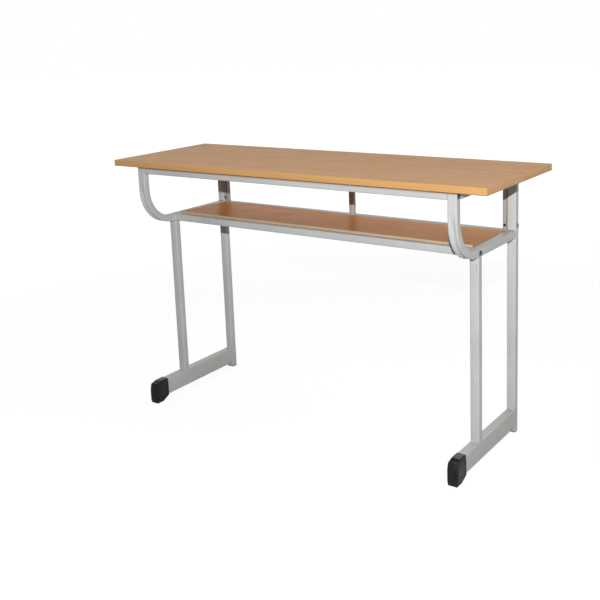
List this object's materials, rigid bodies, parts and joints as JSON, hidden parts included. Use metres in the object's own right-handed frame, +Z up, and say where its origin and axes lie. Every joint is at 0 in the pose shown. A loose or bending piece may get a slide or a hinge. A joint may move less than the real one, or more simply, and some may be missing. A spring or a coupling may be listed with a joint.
{
  "type": "school desk",
  "caption": "Long school desk: wood-look desktop over an open tilted book shelf, on a bolted steel tube frame with curved front tubes, flat foot bars and black moulded shoes.",
  "frame": {"origin": "on the floor, under the middle of the desktop", "axes": "+X along the desktop, -Y towards the pupils, +Z up"},
  "size_m": [1.2, 0.4, 0.75],
  "materials": {
    "frame_paint": "light grey satin powder coat",
    "desktop_laminate": "smooth wood-look laminate",
    "desktop_band": "wood-look edge band",
    "shelf_laminate": "smooth wood-look laminate",
    "shelf_band": "cream edge band",
    "black_plastic": "moulded satin black",
    "bolt_steel": "dark coated steel",
    "zinc_steel": "zinc plated"
  },
  "bodies": {
    "root": {"desktop": "desktop_laminate", "edge_band_front": "desktop_band", "edge_band_rear": "desktop_band", "edge_band_left": "desktop_band", "edge_band_right": "desktop_band", "shelf_board": "shelf_laminate", "shelf_front_band": "shelf_band", "shelf_cleat_front_1": "frame_paint", "shelf_cleat_front_2": "frame_paint", "shelf_cleat_rear_1": "frame_paint", "shelf_cleat_rear_2": "frame_paint", "shelf_screw_front_1": "zinc_steel", "shelf_screw_front_2": "zinc_steel", "shelf_screw_rear_1": "zinc_steel", "shelf_screw_rear_2": "zinc_steel", "front_top_rail": "frame_paint", "rear_top_rail": "frame_paint", "front_shelf_rail": "frame_paint", "rear_shelf_rail": "frame_paint", "middle_strut": "frame_paint", "inner_vertical_left": "frame_paint", "inner_vertical_right": "frame_paint", "rail_plug_front_left": "zinc_steel", "rail_plug_front_right": "zinc_steel", "rail_plug_shelf_left": "zinc_steel", "rail_plug_shelf_right": "zinc_steel", "weld_nut_low_left": "zinc_steel", "weld_nut_high_left": "zinc_steel", "weld_nut_low_right": "zinc_steel", "weld_nut_high_right": "zinc_steel", "desktop_screw_left": "zinc_steel", "desktop_screw_right": "zinc_steel", "desktop_screw_front_left": "zinc_steel", "desktop_screw_front_right": "zinc_steel", "desktop_screw_rear_left": "zinc_steel", "desktop_screw_rear_right": "zinc_steel", "bent_tube_left": "frame_paint", "bent_tube_right": "frame_paint", "rear_post_left": "frame_paint", "rear_post_right": "frame_paint", "side_top_rail_left": "frame_paint", "side_top_rail_right": "frame_paint", "front_upright_left": "frame_paint", "front_upright_right": "frame_paint", "foot_bar_left": "frame_paint", "foot_bar_right": "frame_paint", "shoe_left": "black_plastic", "shoe_right": "black_plastic", "post_cap_left": "black_plastic", "post_cap_right": "black_plastic", "bolt_front_rail_left": "bolt_steel", "bolt_front_rail_right": "bolt_steel", "bolt_shelf_rail_left": "bolt_steel", "bolt_shelf_rail_right": "bolt_steel", "bolt_post_low_left": "bolt_steel", "bolt_post_low_right": "bolt_steel", "bolt_post_high_left": "bolt_steel", "bolt_post_high_right": "bolt_steel"}
  },
  "joints": []
}
